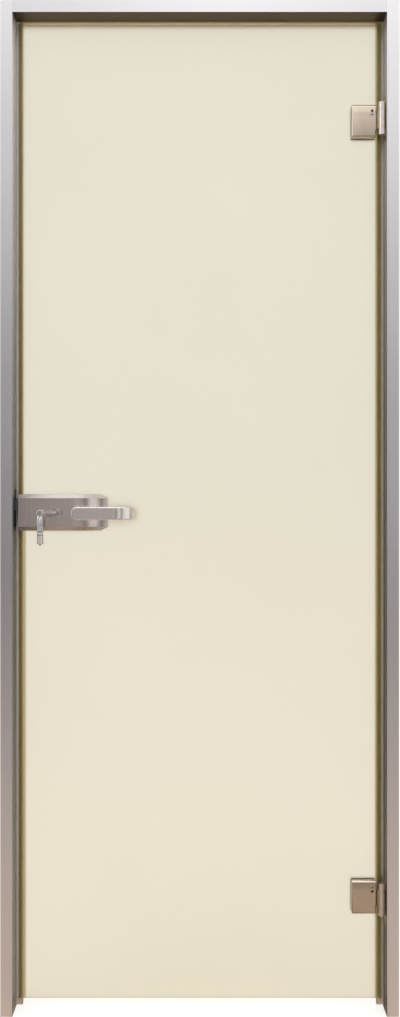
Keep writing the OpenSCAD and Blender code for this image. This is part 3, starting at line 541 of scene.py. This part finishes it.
def finished(tree, colour, gloss, normal, **constants):
    """A Principled surface from a colour, a roughness and a normal. Constants go on its own sockets."""
    surface = add_node(tree, "ShaderNodeBsdfPrincipled")
    for label, value in constants.items():
        surface.inputs[label.replace("_", " ")].default_value = value
    join(tree, colour, surface.inputs["Base Color"])
    join(tree, gloss, surface.inputs["Roughness"])
    join(tree, normal, surface.inputs["Normal"])
    end_in(tree, surface.outputs[0])


print("lines can run along", list(TURN_TO))


# %% [markdown]
# ## Metal
# One function makes the brushed steel of the lock and the levers and the turned pins and screws. It takes the
# metal's own colour, its gloss, and how strongly the lines and the clouds show. The colour lies between a darker and
# a lighter tone of itself, which is enough to lift a surface from flat paint to metal. A material for each piece, made
# by hand, could differ more, but pieces of one door should look alike.

# %% Materials: metal
def metal(name, colour, rough, axis="x", lines=900, line_rough=0.08, clouds=7, cloud_rough=0.06, spread=0.1,
          depth=2e-6):
    """Metal with drawn lines and cloudy patches. spread is how far its lightest tone stands from its darkest."""
    made, tree = new_material(name)
    place = turned_place(tree, axis)
    line = use_group(tree, lines_group, place, lines)["Line"]
    cloud = use_group(tree, clouds_group, place, clouds)["Cloud"]
    shade = weighed(tree, [(line, 0.7), (cloud, 0.5)], 0.5)
    gloss = weighed(tree, [(line, line_rough), (cloud, cloud_rough)], rough)
    finished(tree, blended(tree, shade, *tone_pair(colour, spread)), gloss, relief(tree, line, depth), Metallic=1.0)
    return made


# slot, colour, roughness, axis of the lines, lines per metre, how far they change the roughness, patches per metre,
# how far they change it, spread of the tones, depth of the bump. What a row leaves out keeps the function's value.
metal_looks = [
    ("block_metal", (0.60, 0.60, 0.61), 0.45, "x", 500),
    ("screw_steel", (0.60, 0.59, 0.57), 0.30, "y", 2500, 0.1, 60),
    # strike_steel is darker than its steel: painted shade for the deep gap between the lock case and the jamb.
    ("strike_steel", (0.33, 0.32, 0.325), 0.36, "z", 1600),
    ("hinge_metal", (0.72, 0.66, 0.60), 0.26, "z", 1800, 0.08, 30),
    ("pin_steel", (0.62, 0.60, 0.58), 0.25, "z", 2500, 0.08, 40),
    ("bush_brass", (0.72, 0.55, 0.25), 0.3, "z", 2500, 0.08, 40),
    ("case_steel", (0.72, 0.655, 0.61), 0.22, "z", 300, 0.05, 14, 0.05, 0.12, 4e-7),
    ("lever_steel", (0.86, 0.80, 0.765), 0.27, "z", 300, 0.04, 16, 0.05, 0.09, 4e-7),
    # bolt_steel is darker than its steel too: painted shade for the bolts in that gap.
    ("bolt_steel", (0.17, 0.165, 0.16), 0.34, "x", 2000),
]
finish = {slot: metal(slot, *look) for slot, *look in metal_looks}
print("metals:", list(finish))


# %% [markdown]
# ## Soft or grained stuff
# Rubber, plastic, and metal that was blasted or plated have no lines, only grain over clouds. The function is the
# one for metal with the grain in place of the lines, and it is kept apart because one function for both would need
# a switch at every step.

# %% Materials: soft or grained stuff
def grained(name, colour, rough, grains=1500, clouds=8, spread=0.14, depth=8e-6, metallic=0.0):
    """Rubber, plastic or blasted metal: an even grain over cloudy patches."""
    made, tree = new_material(name)
    place = turned_place(tree, "x")
    grain = use_group(tree, grain_group, place, grains)["Grain"]
    cloud = use_group(tree, clouds_group, place, clouds)["Cloud"]
    shade = weighed(tree, [(grain, 0.5), (cloud, 0.7)], 0.5)
    gloss = weighed(tree, [(grain, 0.08), (cloud, 0.08)], rough)
    finished(tree, blended(tree, shade, *tone_pair(colour, spread)), gloss, relief(tree, grain, depth),
             Metallic=metallic)
    return made


# slot, colour, roughness, grains per metre, patches per metre, spread of the tones, depth of the bump, metallic
grained_looks = [
    ("dark_plastic", (0.035, 0.034, 0.033), 0.5),
    ("gasket_rubber", (0.35, 0.335, 0.30), 0.75),
    ("cover_metal", (0.58, 0.495, 0.39), 0.17, 3000, 22, 0.10, 2e-6, 1.0),
    ("cylinder_nickel", (0.70, 0.63, 0.57), 0.30, 4000, 80, 0.14, 2e-6, 1.0),
    ("key_metal", (0.66, 0.61, 0.58), 0.30, 4000, 90, 0.16, 2e-6, 0.5),
    ("ring_steel", (0.78, 0.76, 0.73), 0.22, 4000, 90, 0.14, 2e-6, 1.0),
]
finish.update({slot: grained(slot, *look) for slot, *look in grained_looks})
print("grained:", [slot for slot, *_ in grained_looks])


# %% [markdown]
# ## The frame's metal and its seal
# Jambs and head are bars of anodised aluminium, drawn through a die. Their reveals carry painted shade and painted
# reflection that change with the height, other on the hinge side than on the latch side, and under the head rail.
# The pocket behind the glass carries an olive painted shade. Lamps could give this too, but each lamp would change
# every other piece. Here the painted light is colours by place, from the group of zones. The pale seal is rubber,
# with a like olive painted shade in the pocket.

# %% Materials: the frame's metal
def frame_metal(name, colour, axis, latch_reveal_painted_light, hinge_reveal_painted_light, pocket_painted_shade):
    """Drawn aluminium with graded painted shade and reflection on the faces of the reveal, and a painted shade in the
    pocket.
    """
    made, tree = new_material(name)
    place = turned_place(tree, axis)
    line = use_group(tree, lines_group, place, 700)["Line"]
    cloud = use_group(tree, clouds_group, place, 3)["Cloud"]
    zones = use_group(tree, zones_group, turned_place(tree, "x"))
    shade = weighed(tree, [(line, 0.4), (cloud, 0.8)], 0.5)
    bare = blended(tree, shade, *tone_pair(colour, 0.03))
    # Painted light: graded shade and reflection on the reveal, by height and side, and an olive shade in the pocket.
    graded_painted_light = blended(tree, zones["Hinge side"], level_ramp(tree, zones["Height share"], latch_reveal_painted_light),
                     level_ramp(tree, zones["Height share"], hinge_reveal_painted_light))
    toned_with_painted_light = blended(tree, zones["Pocket"], blended(tree, zones["Reveal"], bare, graded_painted_light), pocket_painted_shade)
    gloss = weighed(tree, [(line, 0.015), (cloud, 0.04), (zones["Reveal"], 0.2)], 0.40)
    finished(tree, toned_with_painted_light, gloss, relief(tree, line, 2e-7), Metallic=1.0)
    return made


# Painted shade and reflection on the reveals: share of the height, then colour. Under the head rail it is one dark
# shade.
latch_reveal_painted_light = [(0.0, 0.46, 0.44, 0.47), (0.15, 0.44, 0.42, 0.45), (0.36, 0.30, 0.29, 0.32),
                (0.60, 0.36, 0.36, 0.42), (0.75, 0.62, 0.62, 0.72), (0.94, 0.90, 0.90, 0.98)]
hinge_reveal_painted_light = [(0.0, 0.22, 0.20, 0.21), (0.15, 0.22, 0.20, 0.21), (0.36, 0.16, 0.155, 0.175),
                (0.60, 0.23, 0.23, 0.27), (0.75, 0.34, 0.34, 0.40), (0.94, 0.58, 0.58, 0.68)]
head_reveal_painted_shade = [(0.0, 0.12, 0.09, 0.06), (1.0, 0.12, 0.09, 0.06)]
finish["frame_aluminium"] = frame_metal("jamb_aluminium", (0.80, 0.785, 0.785), "z", latch_reveal_painted_light, hinge_reveal_painted_light,
                                        (0.66, 0.58, 0.34))
head_aluminium = frame_metal("head_aluminium", (0.73, 0.72, 0.725), "x", head_reveal_painted_shade, head_reveal_painted_shade,
                             (0.76, 0.68, 0.46))
print("frame:", finish["frame_aluminium"].name, head_aluminium.name)


# %% Materials: the seal
def seal_stuff(name, colour, pocket_painted_shade, rough):
    """Pale rubber in the open gap, with an olive painted shade where it lies behind the glass."""
    made, tree = new_material(name)
    place = turned_place(tree, "x")
    grain = use_group(tree, grain_group, place, 1500)["Grain"]
    cloud = use_group(tree, clouds_group, place, 8)["Cloud"]
    zones = use_group(tree, zones_group, place)
    bare = blended(tree, cloud, [0.93 * c for c in colour], colour)
    gloss = weighed(tree, [(grain, 0.08), (cloud, 0.08)], rough)
    finished(tree, blended(tree, zones["Pocket"], bare, pocket_painted_shade), gloss, relief(tree, grain, 8e-6))
    return made


# The second colour is the painted shade of the seal behind the glass.
finish["seal_rubber"] = seal_stuff("seal_rubber", (0.88, 0.87, 0.85), (0.72, 0.62, 0.33), 0.7)
print("seal:", finish["seal_rubber"].name)


# %% [markdown]
# ## Cut keys
# The spare keys hang from the ring, a few millimetres wide in a view of the whole door. Their grooves and the turned
# lines on the neck could be cut into the solids, but at that size only their shade is seen, so it is painted as
# tones. Two ramps give them, one down the key and one across it, multiplied together.

# %% Materials: cut keys
tip_z, bow_z, blade_left, blade_right = 0.9454, 1.0063, -0.327, -0.3146


def key_stuff(name, bow, blade, rough):
    """A key blank: bright bow, darker tip, painted shade in two neck lines and in the blade's grooves and edges.

    The tone follows the height z along the hanging key, and the grooves follow x."""
    made, tree = new_material(name)
    across, _, height = object_place(tree)
    # dark is painted shade for the turned lines on the neck, and also darkens the tip.
    dark = [0.3 * c for c in blade]
    lengthwise = [(0.0, *dark), (0.05, *dark), (0.07, *blade), (0.32, *blade), (0.33, *dark), (0.36, *dark),
                  (0.37, *bow), (0.43, *bow), (0.44, *dark), (0.47, *dark), (0.48, *bow), (1.0, *bow)]
    groove_and_edge_painted_shade = [(0.0, 0.45), (0.12, 0.45), (0.16, 1.0), (0.30, 1.0), (0.34, 0.6), (0.46, 0.6), (0.5, 1.0),
               (0.68, 1.0), (0.72, 0.6), (0.80, 0.6), (0.84, 1.0), (0.90, 1.0), (0.94, 0.45)]
    by_height = level_ramp(tree, contrast(tree, height, tip_z, bow_z), lengthwise)
    by_width = level_ramp(tree, contrast(tree, across, blade_left, blade_right), greys(groove_and_edge_painted_shade))
    grain = use_group(tree, grain_group, turned_place(tree, "x"), 4000)["Grain"]
    finished(tree, multiplied(tree, by_height, by_width), weighed(tree, [(grain, 0.08)], rough),
             relief(tree, grain, 2e-6), Metallic=0.15)
    return made


spare_key_metal = key_stuff("spare_key_metal", (0.95, 0.93, 0.92), (0.80, 0.68, 0.70), 0.30)
print("keys:", spare_key_metal.name)


# %% [markdown]
# ## Satin glass
# The pane is etched on its face: light comes through, but no picture. Pale paint could pass for it from the front, but
# would let no light through from behind, so it is real glass here, rough, with a fine grain. Its margin lies on the
# stops of the frame, in their shade, and that shade is painted on the glass as a deeper tone, given by place. Below
# the lock the painted margin is wider.

# %% Materials: satin glass
# Bounds of the painted shade along the margin of the glass, in metres.
hinge_margin, latch_margin, head_margin = 0.3595, -0.361, 2.0121
wide_margin, wide_from, wide_to = -0.356, 0.985, 0.984


def past(tree, value, bound, way):
    """1 past a bound, upwards (way 1) or downwards (way -1), with an edge that is 0.6 mm soft."""
    return contrast(tree, value, bound - 0.0003 * way, bound + 0.0003 * way)


def satin_glass(name, low, high, margin_painted_shade, rough):
    """Etched glass: light comes through, scattered by the fine grain of the etched face."""
    made, tree = new_material(name)
    place = turned_place(tree, "z")
    grain = use_group(tree, grain_group, place, 1400)["Grain"]
    cloud = use_group(tree, clouds_group, place, 2.2)["Cloud"]
    across, _, height = object_place(tree)
    below_lock = product(tree, past(tree, across, wide_margin, -1), contrast(tree, height, wide_from, wide_to))
    near_edge = largest(tree, past(tree, across, hinge_margin, 1), past(tree, across, latch_margin, -1),
                        past(tree, height, head_margin, 1), below_lock)
    # Painted shade: the margin over the stops gets a deeper tone.
    colour = blended(tree, near_edge, blended(tree, cloud, low, high), margin_painted_shade)
    gloss = weighed(tree, [(grain, 0.04), (cloud, 0.05)], rough)
    finished(tree, colour, gloss, relief(tree, grain, 2e-6), Transmission_Weight=1.0, IOR=1.5)
    return made


finish["satin_glass"] = satin_glass("satin_glass", (0.83, 0.785, 0.65), (0.855, 0.81, 0.68), (0.55, 0.48, 0.305), 0.5)
print("glass:", finish["satin_glass"].name)


# %% [markdown]
# ## Dressing the solids
# Every solid names its slot in the record, and the slot names the material, so one loop dresses the door. Two pieces
# get a material of their own: the head rail, whose lines run across, and the spare keys with their grooves.

# %% Materials: on the solids
def dress(thing, material):
    """Give one object one material."""
    thing.data.materials.clear()
    thing.data.materials.append(material)


for subpart in frame["record"]["subparts"]:
    dress(nodes[subpart["node"]], finish[subpart["material_slot"]])
dress(nodes["head_rail"], head_aluminium)
dress(nodes["spare_keys"], spare_key_metal)

# %% [markdown]
# ## Soft shapes from numpy
# Cast and pressed metal has no sharp edges, and the light on a rounded edge is what the eye reads as metal. Solids
# from CAD could be given a Bevel modifier instead, but a bevel has one width all along, while these edges are part
# of a form that changes from place to place. So the soft pieces are worked out as surfaces: a grid of points
# over two numbers, one around the piece and one along it, with whole arrays at a time.

# %% Shapes: a mesh from a grid of points
MM = 0.001


def grid_faces(rows, columns, first=0):
    """Faces over a grid whose columns close into rings. Corner (i, j) has the number first + i * columns + j."""
    index = first + np.arange(rows * columns).reshape(rows, columns)
    after = np.roll(index, -1, axis=1)
    quads = np.stack([index[:-1], after[:-1], after[1:], index[1:]], axis=-1).reshape(-1, 4)
    return quads.tolist(), index[0, ::-1].tolist(), index[-1].tolist()


def shells(name, *grids, closed=(True, True)):
    """One object from one or more grids of points in millimetres, each with a flat cap on the ends that are closed."""
    points, faces, first = [], [], 0
    for grid in grids:
        quads, start, end = grid_faces(*grid.shape[:2], first)
        faces += quads + [cap for cap, wanted in zip((start, end), closed) if wanted]
        points.append(grid.reshape(-1, 3))
        first += len(points[-1])
    mesh = bpy.data.meshes.new(name)
    mesh.from_pydata((np.concatenate(points) * MM).tolist(), [], faces)
    form = bmesh.new()
    form.from_mesh(mesh)
    bmesh.ops.recalc_face_normals(form, faces=form.faces)
    form.to_mesh(mesh)
    form.free()
    mesh.shade_smooth()
    made = bpy.data.objects.new(name, mesh)
    scene.collection.objects.link(made)
    print(name, len(mesh.vertices), "points,", len(mesh.polygons), "faces")
    return made


print("a grid of 2 rings of 4 points has", len(grid_faces(2, 4)[0]), "faces between the rings")


# %% Shapes: rounded outlines, and handing a piece in
def around(half_width, half_height, radius, corner_points, guard=0.0):
    """Points of a rounded rectangle about zero, corner by corner: centre of the corner plus radius (cos a, sin a).

    With a guard, one more point stands that far before and after each corner, so that smooth shading leaves the flats
    flat. The first three sizes may be arrays of one length, and the result then has one outline in each row."""
    angle, along = np.linspace(0, np.pi / 2, corner_points), np.zeros(corner_points)
    if guard:
        angle, along = np.pad(angle, 1, mode="edge"), np.pad(along, 1, constant_values=(-1, 1))
    turn = (angle[None, :] + np.arange(4)[:, None] * np.pi / 2).ravel()
    side_a = np.repeat([1, -1, -1, 1], len(angle))
    side_b = np.repeat([1, 1, -1, -1], len(angle))
    half_width, half_height, radius = (np.atleast_1d(v)[:, None] for v in (half_width, half_height, radius))
    beside = np.minimum(guard, 0.4 * (np.minimum(half_width, half_height) - radius)) * np.tile(along, 4)
    return (side_a * (half_width - radius) + radius * np.cos(turn) - beside * np.sin(turn),
            side_b * (half_height - radius) + radius * np.sin(turn) + beside * np.cos(turn))


def hand_in(piece, body, slot, *replaced):
    """Tie a piece to its moving body, its material and the solids that it stands for."""
    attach(piece, body)
    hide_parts(*replaced)
    dress(piece, finish[slot])


print("a square with corners of 5 points has", around(1, 1, 0.2, 5)[0].size, "points")


# %% [markdown]
# ## Levers
# Each lever is a flat bar bent back towards the glass, so that a sleeve can't catch on its end. It would be cast in
# steel and polished, which leaves every edge round. The bar is one rounded section carried along a path, a straight
# run and then an arc. Its height and its thickness shrink over the last millimetres at both ends, and that
# rounds the root and the tip. A curve object with a bevel could carry the section too, but its ends would be flat.
# A round neck, with a hollow curve under the bar, is turned about the spindle.

# %% Levers
def eased(run, radius):
    """How much a half size is short of full near a rounded end: radius - sqrt(radius^2 - (radius - run)^2)."""
    short = np.clip(radius - run, 0, radius)
    return radius - np.sqrt(radius ** 2 - short ** 2)


def neck_points(spindle_x, spindle_z):
    """A turned neck: (x, z) = spindle + r (cos a, sin a), with a row of radii r from the lock case to the bar."""
    turn = np.linspace(0, 2 * np.pi, 48, endpoint=False)
    depth = np.array([-17.0, -45.0, -49.0, -51.5, -53.0, -54.0, -56.0])[:, None]
    radius = np.array([9.0, 9.0, 9.25, 9.8, 10.6, 11.6, 11.6])[:, None]
    return np.stack([spindle_x + radius * np.cos(turn), depth + 0 * turn, spindle_z + radius * np.sin(turn)], axis=-1)


def lever(name, body_node, side):
    """A bent bar on a round neck. side is -1 for the lever in front of the glass and 1 for the one behind.

    At s millimetres from the root, the middle of the bar is at (x, y) = (root + s, -58) on the straight run, and at
    (root + straight + 42 sin a, -16 - 42 cos a) on the arc, where a is the angle that it has turned by. Behind the
    glass, y has the other sign."""
    low, high = np.array(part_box(body_node)) / MM
    root, height = low[0], (low[2] + high[2]) / 2
    thick, tall, bend, sweep = 8.0, 26.0, 46.0, np.radians(70)
    front, spindle_x, spindle_z = -62, -242, 1012
    end_round, edge_round = 10.0, 2.4
    middle = bend - thick / 2
    straight = high[0] - root - bend * np.sin(sweep)
    total = straight + middle * sweep
    near = end_round * (1 - np.cos(np.linspace(0, np.pi / 2, 14)))
    run = np.concatenate([near, np.linspace(12, straight - 2, 8), np.linspace(straight, total - 12, 22),
                          total - near[::-1]])
    angle = np.clip(run - straight, 0, None) / middle
    x = root + np.minimum(run, straight) + middle * np.sin(angle)
    y = front + bend - middle * np.cos(angle)
    from_end = np.minimum(run, total - run)
    half_tall = tall / 2 - eased(from_end, end_round)
    half_thick = thick / 2 - eased(from_end, edge_round)
    across, up = around(half_thick, half_tall, np.minimum(edge_round, half_thick * 0.9), 6, guard=0.3)
    bar = np.stack([x[:, None] + across * np.sin(angle)[:, None], y[:, None] - across * np.cos(angle)[:, None],
                    height + up], axis=-1)
    neck = neck_points(spindle_x, spindle_z)
    for grid in (bar, neck):
        grid[..., 1] *= -side
    hand_in(shells(name, bar, neck), "handle", "lever_steel", body_node)


lever("soft_outer_lever", "outer_lever", -1)
lever("soft_inner_lever", "inner_lever", 1)


# %% [markdown]
# ## Hinge covers
# Each hinge hides its screws under a pressed cover: a shallow dome whose rim rolls over into upright sides, like a
# cushion. It could be a subdivided box, but its rim would then be the same all round, and here the top has a sloped
# band. So rings of points run from the outline to the middle. The height of a point is the dome at that place, less
# the roll, which depends on how far the point is from the outline. A Solidify modifier gives the thin shell its
# thickness.

# %% Hinge covers: the shell
def resampled(x, z, per_side):
    """The same closed outline with extra points along its straight sides."""
    nx, nz = np.roll(x, -1), np.roll(z, -1)
    length = np.hypot(nx - x, nz - z)
    count = np.maximum(1, np.ceil(length / (length.max() / (4 * per_side)))).astype(int)
    start = np.repeat(np.arange(len(x)), count)
    share = (np.arange(count.sum()) - np.repeat(np.cumsum(count) - count, count)) / np.repeat(count, count)
    return x[start] + share * (nx - x)[start], z[start] + share * (nz - z)[start]


def rim_drop(x, z, half, corner):
    """How far the rim falls back: 1.6 (1 - d / 3)^2, with d the distance from the outline, all round.

    Along the top it is a sloped band 0.065 (17 - t), where t, the distance from the top edge, is from 5 to 17. Nearer
    to the edge it is 0.78 and a roll 3.2 (1 - t / 5)^2 besides. The larger of the two drops counts."""
    over_x, over_z = np.abs(x) - (half[0] - corner), np.abs(z) - (half[2] - corner)
    outside = np.hypot(np.clip(over_x, 0, None), np.clip(over_z, 0, None))
    distance = corner - outside - np.minimum(np.maximum(over_x, over_z), 0)
    from_top = half[2] - z
    top_band = 0.065 * np.clip(17 - from_top, 0, 12) + 3.2 * np.clip(1 - from_top / 5, 0, 1) ** 2
    return np.maximum(1.6 * np.clip(1 - distance / 3.0, 0, 1) ** 2, top_band)


def cushion(name, node):
    """A domed cover with a rolled rim: y = crown + R - sqrt(R^2 - x^2 - z^2) + rim, R = 520.

    Ring i is the outline shrunk by inset i. The rings past 20 mm are also drawn together in height, by a factor that
    falls from 1 to 0.26, so that the last one is a small cap and not a long slit."""
    low, high = np.array(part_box(node)) / MM
    centre, half = (low + high) / 2, (high - low) / 2
    crown, base, dome, corner = low[1], high[1], 520.0, 2.5
    inset = np.concatenate([np.linspace(0, 5.2, 14), np.linspace(6, 16.4, 8), [17.0, 17.6],
                            np.linspace(19, 24.6, 5)])[:, None]
    wide, tall = around(half[0], half[2], corner, 9)
    wide, tall = resampled(wide[0], tall[0], 10)
    drawn_in = np.where(inset > 20, 0.2 + 0.16 * (25 - inset), 1)
    x = wide * (1 - inset / half[0])
    z = tall * (1 - inset / half[2]) * drawn_in
    y = crown + dome - np.sqrt(dome ** 2 - x ** 2 - z ** 2) + rim_drop(x, z, half, corner)
    top = np.stack([centre[0] + x, y, centre[2] + z], axis=-1)
    skirt = np.repeat(top[:1], 2, axis=0)
    skirt[0, :, 1] = base
    skirt[1, :, 1] = (base + top[0, :, 1]) / 2
    made = shells(name, np.concatenate([skirt, top]), closed=(False, True))
    wall = made.modifiers.new("wall", "SOLIDIFY")
    wall.thickness = 1.6 * MM
    wall.offset = -1
    return made


covers = {node: cushion("soft_" + node, node) for node in ("upper_hinge_cover", "lower_hinge_cover")}
print("covers:", list(covers))


# %% [markdown]
# ## Slot and notch of the covers
# A small screw sits in a slot near the top of each cover, and the link to the barrel passes through a notch in the
# side. Both could be left out of the grid of points, but then its rings would have to end at the holes. Cutting them
# out of the finished shell with Booleans is shorter, and the result is kept as a plain mesh.

# %% Hinge covers: slot and notch
def prism(name, outline, middle, depths):
    """An outline (x, z) about a middle, carried from the first depth y to the second, as a tool for a cut."""
    wide, tall = outline
    depth = np.array(depths)[:, None]
    return shells(name, np.stack([middle[0] + wide + 0 * depth, depth + 0 * wide, middle[1] + tall + 0 * depth],
                                 axis=-1))


def cut_away(piece, *tools):
    """Cut tools out of a piece, keep the result as its mesh, and throw the tools away."""
    for tool in tools:
        cut = piece.modifiers.new("cut", "BOOLEAN")
        cut.operation = "DIFFERENCE"
        cut.solver = "EXACT"
        cut.object = tool
    shape = bpy.data.meshes.new_from_object(piece.evaluated_get(bpy.context.evaluated_depsgraph_get()))
    piece.modifiers.clear()
    piece.data = shape
    for tool in tools:
        bpy.data.objects.remove(tool)


slot_x, slot_above_middle, notch_x = 351.5, 16.08, 361.0
slot_outline, slot_depths = around(2.5, 6.5, 2.49, 8), (-30.0, -10.2)
notch_outline, notch_depths = around(4.0, 17.9, 0.2, 2), (-11.75, 0.0)
for node, cover in covers.items():
    low, high = np.array(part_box(node)) / MM
    middle_z = (low[2] + high[2]) / 2
    cut_away(cover, prism(node + "_slot", slot_outline, (slot_x, middle_z + slot_above_middle), slot_depths),
             prism(node + "_notch", notch_outline, (notch_x, middle_z), notch_depths))
    hand_in(cover, "leaf", "cover_metal", node)
    print(cover.name, len(cover.data.polygons), "faces after cutting")
